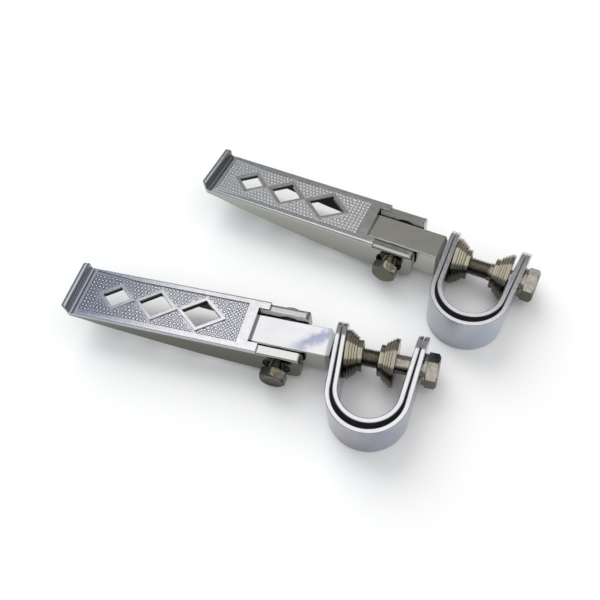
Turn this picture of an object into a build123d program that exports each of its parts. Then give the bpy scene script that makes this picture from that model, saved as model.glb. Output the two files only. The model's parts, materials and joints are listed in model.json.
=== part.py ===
from build123d import *
import math
import os

# A pair of folding foot pegs, each with a U clamp for a round tube, lying side by side.
# Millimetres, +Z up. Each peg is drawn on its own axes first: X runs along the peg toward
# the clamp, X = 0 and Y = 0 are the middle of the folding pivot, and Z = 0 is the surface
# that the peg lies on. Both pegs have the same pieces. The front clamp stands open a little
# wider than the back one, and its loose cone has slid away from the leg.

# U clamp: two nested straps with a rubber liner between them
strap_width = 26.4
strap_thickness = 2.5
tube_radius = 15.1           # inside of the U, for a 30 mm tube
bolt_to_tube = 22.5          # from the clamp bolt to the middle of the tube
front_inner_lean = 5.0       # degrees that each leg leans outward
front_outer_lean = 4.1
back_inner_lean = 3.2
back_outer_lean = 2.5
left_leg_end = 3.0           # from the bolt to the middle of the round leg end
right_leg_end = 3.8
front_liner_at_bolt = 0.7
back_liner_at_bolt = 0.3
liner_at_bottom = 2.8
liner_past_leg_end = 1.2
liner_edge_inset = 0.5
liner_clearance = 0.04
strap_edge_break = 0.35
bolt_hole_clearance = 0.6

# Mount bar: a square bar between the tread and the clamp
bar_size = 16.6
bar_left = -24.0
bar_right = 26.5
bar_edge_break = 0.5
bar_end_chamfer = 2.0
front_bar_to_strap = 1.3     # room for the bar's corners to swivel past the leaning leg
back_bar_to_strap = 0.9
bar_side_gap = 2.0           # from the bar's side to the ear, filled by a washer
thread_engagement = 8.0      # least length of clamp bolt in the bar
tapped_run_out = 1.0

# Clamp bolt, M10
clamp_bolt_diameter = 10.0
bolt_length_step = 5.0       # bolts come in lengths of 5 mm steps
clamp_head_flats = 16.0
clamp_head_height = 6.2
lock_washer_outer = 8.2
lock_washer_thickness = 1.6
lock_washer_gap = 1.3
lock_washer_slant = 25.0
washer_bore_clearance = 0.2

# Stepped cones on the clamp bolt
cone_radii = (13.0, 12.1, 11.1, 10.1, 8.4)
cone_base_thickness = 2.4
cone_step = 1.3
cone_collar_length = 2.65
cone_edge_break = 0.25
cone_mouth_radius = 6.3
cone_mouth_depth = 1.3
seated_cone_bore = 5.6
seated_cone_gap = 0.25
loose_cone_play = 0.08
front_cone_gap = 6.3         # loose cone to the right leg, front peg
back_cone_gap = 0.7          # and back peg

# Pivot bolt, M8, screwed part of the way into the back ear
pivot_bolt_diameter = 8.0
pivot_bolt_length = 35.0
pivot_head_flats = 13.0
pivot_head_height = 5.3
pivot_head_standoff = 3.9
pivot_play = 0.05
pivot_washer_radius = 7.8
washer_side_play = 0.06

# Shape of every bolt's head and tip
head_crown_inset = 0.3       # flat top of the head, inside the flats
head_crown_angle = 37.5
head_seat_break = 0.25
head_seat_overhang = 0.4     # seat of the head, outside the flats
bolt_tip_share = 0.09        # tip chamfer as a share of the thread's diameter

# Tread plate: one casting with flanges, ears, lip, frames and cut-outs
plate_top = 24.8
ear_thickness = 5.1
flange_thickness = 3.8
plate_step_x = -10.3         # where the plate stops and the bare ears go on
notch_x = -15.9
stop_clearance = 0.05        # plate to the top of the bar, which stops the fold
lip_x = -122.0
lip_thickness = 3.7
lip_height = 4.7
lip_round = 1.7
outer_corner = 3.7
groove_radius = 1.7
groove_depth = 1.0
groove_offset = 1.4
border_round = 1.1
ear_top = 23.0
near_ear_end = 13.2
far_ear_end = 11.1
ear_bottom = 5.0
ear_top_corner = 2.8
ear_bottom_corner = 5.5
ear_round = 2.0
flange_curve = ((-12.0, 5.4), (-30.0, 6.6), (-45.0, 8.2), (-60.0, 10.3), (-84.0, 14.3), (-104.0, 18.0))
outer_end_thickness = 3.8
ear_floor_start = 1.0
pocket_radius = 7.6
pocket_depth = 2.2
ear_hole_clearance = 0.25
tapped_clearance = 0.02
boss_radius = 6.6
boss_height = 2.4
boss_round = 1.7

# Pebbled field and the three diamond cut-outs with raised frames
field_start = -113.8
field_end = -21.7
field_narrow_x = -86.0
border_at_start = 1.5
border_width = 3.4
field_depth = 0.7
frame_width = 1.75
diamonds = ((-95.7, 8.3, 6.4), (-71.9, 10.0, 7.7), (-45.4, 11.4, 8.4))

# How the pair lies
back_peg_x = 46.5
back_peg_y = 76.7
back_peg_turn = -10.9

# Derived places
axis_z = strap_width / 2
inner_strap_outside = tube_radius + strap_thickness
notch_half_width = bar_size / 2 + bar_side_gap
plate_half_width = notch_half_width + ear_thickness
channel_half_width = plate_half_width - flange_thickness
field_half_start = plate_half_width - border_at_start
field_half_width = plate_half_width - border_width
outer_end_height = plate_top - outer_end_thickness
cone_length = cone_base_thickness + (len(cone_radii) - 2) * cone_step + cone_collar_length
plate_thickness = plate_top - (axis_z + bar_size / 2) - stop_clearance


class Clamp:
    """One U clamp. Its legs lean outward, and the outer strap's legs lean a little less."""

    def __init__(self, bar_to_strap, inner_lean, outer_lean, liner_at_bolt):
        self.lean = math.radians(inner_lean)
        self.outer_lean = math.radians(outer_lean)
        to_outside = self.leg_offset(inner_strap_outside, bolt_to_tube, self.lean)
        level = (to_outside + liner_at_bolt) * math.cos(self.outer_lean)
        bottom = bolt_to_tube + inner_strap_outside + liner_at_bottom
        slope = math.sin(self.outer_lean)
        self.outer_inside = (level - bottom * slope) / (1 - slope)
        self.outer_drop = bottom - self.outer_inside
        self.outer_outside = self.outer_inside + strap_thickness
        self.tube_x = bar_right + bar_to_strap + self.outer_offset(0)
        self.left_leg_inside = self.tube_x - self.inner_offset(0)
        self.head_x = self.tube_x + self.outer_offset(lock_washer_outer) + lock_washer_thickness

    def leg_offset(self, radius, drop, lean, y=0.0):
        """Distance in X from the middle of the U to a leg face at height y along the leg."""
        return (radius + (y + drop) * math.sin(lean)) / math.cos(lean)

    def inner_offset(self, y):
        """Distance from the middle of the U to the inner strap's inside face."""
        return self.leg_offset(tube_radius, bolt_to_tube, self.lean, y)

    def outer_offset(self, y):
        """Distance from the middle of the U to the outer strap's outside face."""
        return self.leg_offset(self.outer_outside, self.outer_drop, self.outer_lean, y)

    def u_area(self, radius, drop, lean, reach):
        """Area inside a U of this radius, with two leaning legs that end at Y = reach."""
        foot_x = radius * math.cos(lean)
        foot_y = -drop - radius * math.sin(lean)
        top_x = foot_x + (reach - foot_y) * math.tan(lean)
        legs = Polyline((-foot_x, foot_y), (foot_x, foot_y), (top_x, reach), (-top_x, reach), close=True)
        return Pos(0, -drop) * Circle(radius) + make_face(legs)

    def u_strip(self, inside, outside, low, high):
        """U-shaped strip between two (radius, drop, lean) U areas, from Z = low to Z = high."""
        reach = right_leg_end + strap_width
        strip = extrude(self.u_area(*outside, reach), high - low)
        strip -= extrude(self.u_area(*inside, reach + 1), high - low)
        hole = Cylinder(clamp_bolt_diameter / 2 + bolt_hole_clearance, 4 * self.tube_x)
        return Pos(self.tube_x, 0, low) * strip - place((0, 0, axis_z), (1, 0, 0)) * hole

    def side_limit(self, end, rounded):
        """Side outline that ends a leg, round or straight, and runs down past the bend."""
        run = end + self.outer_outside + self.outer_drop + 1
        side = Pos(end - run / 2, axis_z) * Rectangle(run, strap_width)
        if rounded:
            side += Pos(end, axis_z) * Circle(strap_width / 2)
        return extrude(Plane.YZ * side, self.tube_x)

    def ended(self, strip, past_end, rounded):
        """Strip with its left and right legs cut to their own lengths."""
        left = self.side_limit(left_leg_end + past_end, rounded)
        right = self.side_limit(right_leg_end + past_end, rounded)
        return strip & (left + Pos(self.tube_x, 0, 0) * right)

    def strap(self, inside, drop, lean):
        """One steel strap of the clamp with its bolt holes, round leg ends and broken edges."""
        piece = self.u_strip((inside, drop, lean), (inside + strap_thickness, drop, lean), 0, strap_width)
        piece = self.ended(piece, 0, True)
        rims = piece.edges().filter_by(
            lambda e: e.length > strap_width / 2 and abs(abs(e.center().Z - axis_z) - axis_z) < 0.01
        )
        return chamfer(rims, strap_edge_break)

    def inner_strap(self):
        """The strap that the tube lies in."""
        return self.strap(tube_radius, bolt_to_tube, self.lean)

    def outer_strap(self):
        """The strap round the outside, a little deeper at its bend."""
        return self.strap(self.outer_inside, self.outer_drop, self.outer_lean)

    def liner(self):
        """Rubber strip that fills the crescent between the two straps."""
        strip = self.u_strip(
            (inner_strap_outside + liner_clearance, bolt_to_tube, self.lean),
            (self.outer_inside - liner_clearance, self.outer_drop, self.outer_lean),
            liner_edge_inset, strap_width - liner_edge_inset,
        )
        return self.ended(strip, liner_past_leg_end, False)

    def seated_cone(self):
        """Cone that sits flat against the inside of the left leg, so it leans with the leg."""
        drop = cone_length / 2 * math.tan(self.lean)
        toward_tube = (math.cos(self.lean), math.sin(self.lean), 0)
        base_x = self.left_leg_inside + seated_cone_gap + drop * math.tan(self.lean)
        return place((base_x, -drop, axis_z), toward_tube) * stepped_cone(seated_cone_bore)

    def loose_cone(self, gap):
        """Cone that slides on the clamp bolt, with the given gap between its disc and the right leg."""
        right_leg = self.tube_x + self.inner_offset(-cone_radii[0])
        bore = clamp_bolt_diameter / 2 + loose_cone_play
        return place((right_leg - gap, 0, axis_z), (-1, 0, 0)) * stepped_cone(bore)


# Both clamp bolts have the length that the wider clamp needs
front_clamp = Clamp(front_bar_to_strap, front_inner_lean, front_outer_lean, front_liner_at_bolt)
back_clamp = Clamp(back_bar_to_strap, back_inner_lean, back_outer_lean, back_liner_at_bolt)
widest = max(front_clamp.head_x, back_clamp.head_x) - bar_right
narrowest = min(front_clamp.head_x, back_clamp.head_x) - bar_right
clamp_bolt_length = bolt_length_step * math.ceil((widest + thread_engagement) / bolt_length_step)
tapped_depth = clamp_bolt_length - narrowest + tapped_run_out


def place(origin, direction):
    """Location that carries a piece drawn along Z onto an axis of the peg."""
    return Plane(origin=origin, z_dir=direction).location


def turned(profile):
    """Solid of revolution about Z from (radius, height) points."""
    return revolve(Plane.XZ * make_face(Polyline(*profile, close=True)), Axis.Z)


def hex_bolt(diameter, length, flats, head_height):
    """Hex bolt along Z: the head lies below Z = 0 and the shank above it."""
    corner = flats / math.sqrt(3)
    crown_flat = flats / 2 - head_crown_inset
    crown = (corner - crown_flat) * math.tan(math.radians(head_crown_angle))
    tip = bolt_tip_share * diameter
    hexagon = RegularPolygon(flats / 2, 6, major_radius=False)
    blank = Pos(0, 0, -head_height) * extrude(hexagon, head_height)
    limit = turned([
        (0, -head_height),
        (crown_flat, -head_height),
        (corner, -head_height + crown),
        (corner, -head_seat_break),
        (flats / 2 + head_seat_overhang, 0),
        (0, 0),
    ])
    shank = turned([
        (0, -1),
        (diameter / 2, -1),
        (diameter / 2, length - tip),
        (diameter / 2 - tip, length),
        (0, length),
    ])
    return (blank & limit) + shank


def stepped_cone(bore):
    """Turned cone along Z: widest disc at Z = 0, then steps down to the collar and its mouth."""
    profile = [(bore, 0)]
    height = 0.0
    for number, radius in enumerate(cone_radii):
        if number == 0:
            rise = cone_base_thickness
        elif number == len(cone_radii) - 1:
            rise = cone_collar_length
        else:
            rise = cone_step
        if number == 0:
            profile.append((radius - cone_edge_break, height))
            profile.append((radius, height + cone_edge_break))
        else:
            profile.append((radius, height))
        height += rise
        profile.append((radius, height - cone_edge_break))
        profile.append((radius - cone_edge_break, height))
    profile.append((cone_mouth_radius, height))
    profile.append((bore, height - cone_mouth_depth))
    return turned(profile)


def lock_washer():
    """Single-coil spring washer along Z, split by a slanted cut."""
    inner = clamp_bolt_diameter / 2 + washer_bore_clearance
    ring = turned([
        (inner, 0),
        (lock_washer_outer, 0),
        (lock_washer_outer, lock_washer_thickness),
        (inner, lock_washer_thickness),
    ])
    cut = Box(lock_washer_gap, 2 * lock_washer_outer, 3 * lock_washer_thickness)
    cut = Rot(0, lock_washer_slant, 0) * cut
    return ring - Pos(0, -lock_washer_outer, lock_washer_thickness / 2) * cut


def mount_bar():
    """Square bar with the pivot bore across it and the tapped hole in its clamp end."""
    length = bar_right - bar_left
    bar = Pos(bar_left + length / 2, 0, axis_z) * Box(length, bar_size, bar_size)
    end_edges = bar.faces().sort_by(Axis.X)[-1].edges()
    bar = chamfer(end_edges, bar_end_chamfer)
    bar = chamfer(bar.edges().filter_by(Axis.X), bar_edge_break)
    bore = Cylinder(pivot_bolt_diameter / 2 + pivot_play, 2 * bar_size)
    bar -= place((0, 0, axis_z), (0, 1, 0)) * bore
    tapped = Cylinder(clamp_bolt_diameter / 2 + pivot_play, 2 * tapped_depth)
    return bar - place((bar_right, 0, axis_z), (1, 0, 0)) * tapped


def diamond(centre, half_length, half_width, grow=0.0):
    """Diamond face in plan, grown evenly by a border of the given width."""
    slope = math.atan2(half_width, half_length)
    a = half_length + grow / math.sin(slope)
    b = half_width + grow / math.cos(slope)
    return make_face(Polyline((centre - a, 0), (centre, b), (centre + a, 0), (centre, -b), close=True))


def tread_side(ear_end):
    """Side outline of the tread: flat top, stepped ear, rounded ear end and curved flange edge."""
    top = Polyline(
        (lip_x, plate_top),
        (plate_step_x, plate_top),
        (plate_step_x, ear_top),
        (ear_end - ear_top_corner, ear_top),
    )
    upper = CenterArc((ear_end - ear_top_corner, ear_top - ear_top_corner), ear_top_corner, 90, -90)
    end = Line((ear_end, ear_top - ear_top_corner), (ear_end, ear_bottom + ear_bottom_corner))
    lower_middle = (ear_end - ear_bottom_corner, ear_bottom + ear_bottom_corner)
    lower = CenterArc(lower_middle, ear_bottom_corner, 0, -90)
    floor = Line((ear_end - ear_bottom_corner, ear_bottom), (ear_floor_start, ear_bottom))
    curve = Spline(
        (ear_floor_start, ear_bottom), *flange_curve, (lip_x, outer_end_height),
        tangents=[(-1, 0), (-1, 0)],
    )
    tip = Line((lip_x, outer_end_height), (lip_x, plate_top))
    return make_face(top + upper + end + lower + floor + curve + tip)


def cross_section(top, rounding, start, end):
    """Straight length along X with the full width, a flat top and rounded long edges."""
    area = Pos(0, top / 2) * Rectangle(2 * plate_half_width, top)
    area = fillet(area.vertices().group_by(Axis.Y)[-1], rounding)
    return Pos(start, 0, 0) * extrude(Plane.YZ * area, end - start)


def tread_blank():
    """Tread casting before the notch, the field and the holes are cut."""
    body = cross_section(plate_top, border_round, lip_x, plate_step_x)
    body += cross_section(ear_top, ear_round, plate_step_x, near_ear_end)
    near_side = extrude(Plane.XZ * tread_side(near_ear_end), plate_half_width + 1)
    far_side = extrude(Plane.XZ * tread_side(far_ear_end), -plate_half_width - 1)
    body &= near_side + far_side
    ridge_z = plate_top + lip_height / 2 - 1
    ridge = Box(lip_thickness, 2 * plate_half_width, lip_height + 2)
    crest = ridge.faces().sort_by(Axis.Z)[-1].edges()
    ridge = fillet(crest, lip_round)
    body += Pos(lip_x + lip_thickness / 2, 0, ridge_z) * ridge
    footprint = make_face(Polyline(
        (lip_x, -plate_half_width),
        (near_ear_end + 1, -plate_half_width),
        (near_ear_end + 1, plate_half_width),
        (lip_x, plate_half_width),
        close=True,
    ))
    footprint = fillet(footprint.vertices().group_by(Axis.X)[0], outer_corner)
    return body & extrude(footprint, 2 * plate_top)


def tread_plate():
    """Finished tread: channel, notch, groove, pebbled field, framed cut-outs and pivot holes."""
    body = tread_blank()
    under = plate_top - plate_thickness
    run = notch_x - lip_x
    channel = Pos(lip_x + run / 2, 0, under / 2) * Box(run, 2 * channel_half_width, under)
    slot_length = near_ear_end - notch_x
    slot = Box(2 * slot_length, 2 * notch_half_width, 4 * plate_top)
    body -= channel
    body -= Pos(notch_x + slot_length, 0, 0) * slot
    groove_x = lip_x + lip_thickness + groove_offset
    groove = Cylinder(groove_radius, 4 * plate_half_width)
    groove_z = plate_top + groove_radius - groove_depth
    body -= place((groove_x, 0, groove_z), (0, 1, 0)) * groove
    field = make_face(Polyline(
        (field_start, -field_half_start),
        (field_narrow_x, -field_half_width),
        (field_end, -field_half_width),
        (field_end, field_half_width),
        (field_narrow_x, field_half_width),
        (field_start, field_half_start),
        close=True,
    ))
    for shape in diamonds:
        field -= diamond(*shape, grow=frame_width)
    body -= Pos(0, 0, plate_top - field_depth) * extrude(field, 2 * field_depth)
    for shape in diamonds:
        body -= extrude(diamond(*shape), 2 * plate_top)
    boss = turned([(0, -1), (boss_radius, -1), (boss_radius, boss_height), (0, boss_height)])
    boss = fillet(boss.edges().sort_by(Axis.Z)[-1], boss_round)
    body += place((0, plate_half_width, axis_z), (0, 1, 0)) * boss
    front = place((0, -plate_half_width, axis_z), (0, 1, 0))
    body -= front * Cylinder(pocket_radius, 2 * pocket_depth)
    body -= front * Cylinder(pivot_bolt_diameter / 2 + ear_hole_clearance, 2 * plate_half_width)
    back = place((0, plate_half_width, axis_z), (0, 1, 0))
    tapped = Cylinder(pivot_bolt_diameter / 2 + tapped_clearance, 2 * plate_half_width)
    return body - back * tapped


def pivot_washers():
    """The two plain washers that keep the bar central between the ears."""
    thickness = bar_side_gap - 2 * washer_side_play
    inner = pivot_bolt_diameter / 2 + washer_bore_clearance
    ring = turned([
        (inner, -thickness / 2),
        (pivot_washer_radius, -thickness / 2),
        (pivot_washer_radius, thickness / 2),
        (inner, thickness / 2),
    ])
    middle = bar_size / 2 + bar_side_gap / 2
    pair = [place((0, side * middle, axis_z), (0, 1, 0)) * ring for side in (-1, 1)]
    return Compound(children=pair)


def peg_pieces(clamp, cone_gap):
    """Every piece of one peg on the peg's own axes, by its plain name."""
    clamp_bolt = hex_bolt(clamp_bolt_diameter, clamp_bolt_length, clamp_head_flats, clamp_head_height)
    pivot_bolt = hex_bolt(pivot_bolt_diameter, pivot_bolt_length, pivot_head_flats, pivot_head_height)
    pivot_head_y = -plate_half_width - pivot_head_standoff
    under_head = place((clamp.head_x, 0, axis_z), (-1, 0, 0))
    return {
        "tread_plate": tread_plate(),
        "pivot_bolt": place((0, pivot_head_y, axis_z), (0, 1, 0)) * pivot_bolt,
        "pivot_washers": pivot_washers(),
        "mount_bar": mount_bar(),
        "outer_strap": clamp.outer_strap(),
        "rubber_liner": clamp.liner(),
        "inner_strap": clamp.inner_strap(),
        "clamp_bolt": under_head * clamp_bolt,
        "lock_washer": under_head * lock_washer(),
        "seated_cone": clamp.seated_cone(),
        "loose_cone": clamp.loose_cone(cone_gap),
    }


# Lay the two pegs out and put the origin under the middle of the pair
back_place = Location((back_peg_x, back_peg_y, 0), (0, 0, back_peg_turn))
pegs = {
    "front": (Location((0, 0, 0)), front_clamp, front_cone_gap),
    "back": (back_place, back_clamp, back_cone_gap),
}
pieces = {}
for side, (where, clamp, cone_gap) in pegs.items():
    for name, shape in peg_pieces(clamp, cone_gap).items():
        pieces[side + "_" + name] = where * shape

boxes = [shape.bounding_box() for shape in pieces.values()]
origin_x = (min(b.min.X for b in boxes) + max(b.max.X for b in boxes)) / 2
origin_y = (min(b.min.Y for b in boxes) + max(b.max.Y for b in boxes)) / 2

os.makedirs("parts", exist_ok=True)
for name, shape in pieces.items():
    export_step(Pos(-origin_x, -origin_y, 0) * shape, "parts/" + name + ".step")
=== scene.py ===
"""Finished look of a pair of clamp-on folding foot pegs, on the pegs' own solids."""

import json
import logging
import math
from dataclasses import dataclass, field, replace
from enum import Enum
from functools import reduce
from typing import Sequence

import bpy
import numpy as np
from mathutils import Matrix, Vector


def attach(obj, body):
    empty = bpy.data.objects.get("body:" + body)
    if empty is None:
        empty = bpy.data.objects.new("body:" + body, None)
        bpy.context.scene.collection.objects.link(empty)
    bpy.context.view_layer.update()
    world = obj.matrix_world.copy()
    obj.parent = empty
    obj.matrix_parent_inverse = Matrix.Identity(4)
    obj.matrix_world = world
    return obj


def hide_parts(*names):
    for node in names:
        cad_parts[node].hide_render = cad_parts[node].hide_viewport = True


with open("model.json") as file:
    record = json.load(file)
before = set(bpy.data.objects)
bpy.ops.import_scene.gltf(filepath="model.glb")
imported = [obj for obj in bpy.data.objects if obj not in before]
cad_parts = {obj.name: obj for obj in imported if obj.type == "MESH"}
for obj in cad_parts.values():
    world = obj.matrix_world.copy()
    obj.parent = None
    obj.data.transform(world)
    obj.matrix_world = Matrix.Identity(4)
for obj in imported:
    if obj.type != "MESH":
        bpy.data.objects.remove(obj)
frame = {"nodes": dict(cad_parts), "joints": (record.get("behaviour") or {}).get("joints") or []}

MM = 0.001
UP = np.array([0.0, 0.0, 1.0])

log = logging.getLogger("foot_pegs")

Socket = bpy.types.NodeSocket
Material = bpy.types.Material
Span = tuple[float, float]
Triple = tuple[float, float, float]
Colour = Triple
Tint = Colour | Socket
Amount = float | Socket
Given = Triple | float | Socket


class Side(Enum):
    """The peg nearer the viewer and the one behind it."""

    FRONT = "front"
    BACK = "back"


class Slot(Enum):
    """Names of two material slots of the pair."""

    CASTING = "bright_casting"
    FASTENER = "steel_fastener"


@dataclass(frozen=True)
class PegAxes:
    """Axes of one peg in the row frame: along it, across it, and up from the floor.

    The origin is on the floor, under the middle of the folding pivot.
    """

    origin: np.ndarray
    along: np.ndarray
    across: np.ndarray
    bolt_height: float

    @classmethod
    def from_joints(cls, side: Side) -> "PegAxes":
        """Read a peg's axes from its swivel and fold joints.

        Args:
            side: Which peg.

        Returns:
            The peg's axes, in metres.
        """
        joints = {joint["name"]: joint for joint in frame["joints"]}
        swivel = joints[f"{side.value}_bar_swivel"]
        fold = joints[f"{side.value}_tread_fold"]
        east, north, height = (float(value) for value in fold["pos_m"])
        origin = np.array([east, north, 0.0])
        return cls(origin, np.array(swivel["axis"], float), np.array(fold["axis"], float), height)

    def basis(self) -> np.ndarray:
        """Rows of the peg's three directions in the row frame."""
        return np.stack([self.along, self.across, UP])

    def to_row(self, local: np.ndarray) -> np.ndarray:
        """Carry points in millimetres on the peg's axes to metres in the row frame."""
        return self.origin + MM * (local @ self.basis())

    def to_peg(self, points: np.ndarray) -> np.ndarray:
        """Carry points of the row frame to millimetres on the peg's axes."""
        return ((points - self.origin) @ self.basis().T) / MM


def node_points(name: str) -> np.ndarray:
    """Read the vertices of a CAD node.

    Args:
        name: Name of the node.

    Returns:
        Points in the row frame, in metres, one row each.
    """
    mesh = frame["nodes"][name].data
    flat = np.empty(3 * len(mesh.vertices), np.float32)
    mesh.vertices.foreach_get("co", flat)
    return flat.reshape(-1, 3).astype(float)


def surface_object(
    name: str, vertices: np.ndarray, faces: list, smooth_angle: float = 35.0
) -> bpy.types.Object:
    """Make an object at the origin from vertices in the row frame.

    Args:
        name: Name of the piece.
        vertices: Points in metres, one row each.
        faces: Vertex numbers of each face.
        smooth_angle: Edges that fold by more degrees than this stay sharp.

    Returns:
        The linked object.
    """
    mesh = bpy.data.meshes.new(name)
    mesh.from_pydata(vertices.tolist(), [], faces)
    mesh.validate()
    mesh.polygons.foreach_set("use_smooth", [True] * len(mesh.polygons))
    mesh.set_sharp_from_angle(angle=math.radians(smooth_angle))
    piece = bpy.data.objects.new(name, mesh)
    bpy.context.scene.collection.objects.link(piece)
    return piece


def ring_quads(levels: int, around: int) -> np.ndarray:
    """Quads that join each ring of points to the next one.

    Args:
        levels: Number of rings, stored one after the other.
        around: Points in each ring.

    Returns:
        Vertex numbers, one row of four each, facing away from the axis.
    """
    here = np.arange(around)
    there = np.roll(here, -1)
    start = around * np.arange(levels - 1)[:, None]
    after = start + around
    return np.stack([start + here, start + there, after + there, after + here], -1).reshape(-1, 4)


def turned_surface(name: str, rings: np.ndarray) -> bpy.types.Object:
    """Join rings of points into one closed skin.

    The rings run round an axis, each from the same start. Neighbouring rings are joined by
    quads, and the end rings are closed by fans to their middles.

    Args:
        name: Name of the piece.
        rings: Array of rings by points round the ring by 3, in metres.

    Returns:
        The closed piece.
    """
    count, around = rings.shape[:2]
    here = np.arange(around)
    there = np.roll(here, -1)
    last = (count - 1) * around
    pole = np.full(around, count * around)
    head = np.stack([pole, there, here], -1)
    foot = np.stack([pole + 1, last + here, last + there], -1)
    vertices = np.concatenate([rings.reshape(-1, 3), [rings[0].mean(0), rings[-1].mean(0)]])
    faces = ring_quads(count, around).tolist() + head.tolist() + foot.tolist()
    return surface_object(name, vertices, faces)


@dataclass(frozen=True)
class Cloud:
    """Cloudy pattern: how many lumps there are to a metre, and octaves of finer lumps."""

    per_metre: float
    detail: float


@dataclass(frozen=True)
class Relief:
    """Fine relief from a cloudy pattern: its full depth and the share of it that shows."""

    cloud: Cloud
    depth_mm: float
    strength: float


class Way(Enum):
    """What a zone's edge is measured on: the place on the peg, or how a face is turned.

    Places are in millimetres on the peg's axes, and turns run from -1 to 1.
    """

    ALONG = "along"
    ACROSS = "across"
    UP = "up"
    OFF_MIDDLE = "off_middle"
    FACING_RIGHT = "facing_right"
    FACING_UP = "facing_up"


@dataclass(frozen=True)
class Edge:
    """Soft edge of a zone: its mask turns from 0 at the start to 1 at the end."""

    way: Way
    start: float
    end: float


Zone = tuple[Edge, ...]


class NodeBench:
    """Adds nodes to one node tree."""

    def __init__(self, tree: bpy.types.NodeTree) -> None:
        """Take the tree to work on."""
        self.tree = tree

    def feed(self, target: Socket, given: Given) -> None:
        """Give an input what goes into it.

        Args:
            target: The input.
            given: Another node's output, a number, a vector, or a colour, which is opaque.
        """
        if isinstance(given, Socket):
            self.tree.links.new(given, target)
        else:
            target.default_value = (*given, 1.0) if target.type == "RGBA" else given

    def node(
        self, kind: str, given: dict[str, Given] | None = None, **settings: str | int
    ) -> dict[str, Socket]:
        """Add a node.

        Args:
            kind: Blender's name for the type of node.
            given: What goes into its inputs, by their identifiers.
            settings: Values of the node's attributes.

        Returns:
            Its outputs, by their identifiers.
        """
        made = self.tree.nodes.new(kind)
        for key, value in settings.items():
            setattr(made, key, value)
        inputs = {socket.identifier: socket for socket in made.inputs}
        for key, value in (given or {}).items():
            self.feed(inputs[key], value)
        return {socket.identifier: socket for socket in made.outputs}

    def maths(self, operation: str, first: Amount, second: Amount = 0.0) -> Socket:
        """Work out one sum of two amounts, by Blender's name for its kind."""
        given = {"Value": first, "Value_001": second}
        return self.node("ShaderNodeMath", given, operation=operation)["Value"]

    def product(self, *amounts: Amount) -> Amount:
        """Multiply amounts in turn."""
        return reduce(lambda first, second: self.maths("MULTIPLY", first, second), amounts)

    def parts(self, vector: Socket) -> tuple[Socket, ...]:
        """Split a vector into its X, Y and Z."""
        return tuple(self.node("ShaderNodeSeparateXYZ", {"Vector": vector}).values())

    def mapped(self, source: Socket, over: Span, wanted: Span, curve: str = "LINEAR") -> Socket:
        """Map one range of a pattern onto another, and hold it level beyond both ends.

        Args:
            source: The pattern.
            over: Values of the pattern where the range starts and ends.
            wanted: Values that they become.
            curve: Blender's name for how the values run between the ends.

        Returns:
            Socket of the mapped pattern.
        """
        names = ("From Min", "From Max", "To Min", "To Max")
        given = {"Value": source, **dict(zip(names, (*over, *wanted)))}
        return self.node("ShaderNodeMapRange", given, interpolation_type=curve)["Result"]

    def rise(self, source: Socket, over: Span, wanted: Span = (0.0, 1.0)) -> Socket:
        """Smooth step over a range, from 0 to 1 unless other ends are asked for."""
        return self.mapped(source, over, wanted, "SMOOTHSTEP")

    def blend(self, mask: Socket, first: Tint, second: Tint) -> Socket:
        """Run from the first colour to the second along a mask that goes from 0 to 1."""
        given = {"Factor_Float": mask, "A_Color": first, "B_Color": second}
        return self.node("ShaderNodeMix", given, data_type="RGBA")["Result_Color"]

    def layered(self, base: Tint, layers: Sequence[tuple[Socket, Tint]]) -> Tint:
        """Lay tints over a base in turn.

        Args:
            base: Colour underneath.
            layers: Pairs of a mask and the tint that covers the rest where it is 1.

        Returns:
            The colour on top.
        """
        for mask, tint in layers:
            base = self.blend(mask, base, tint)
        return base


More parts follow.
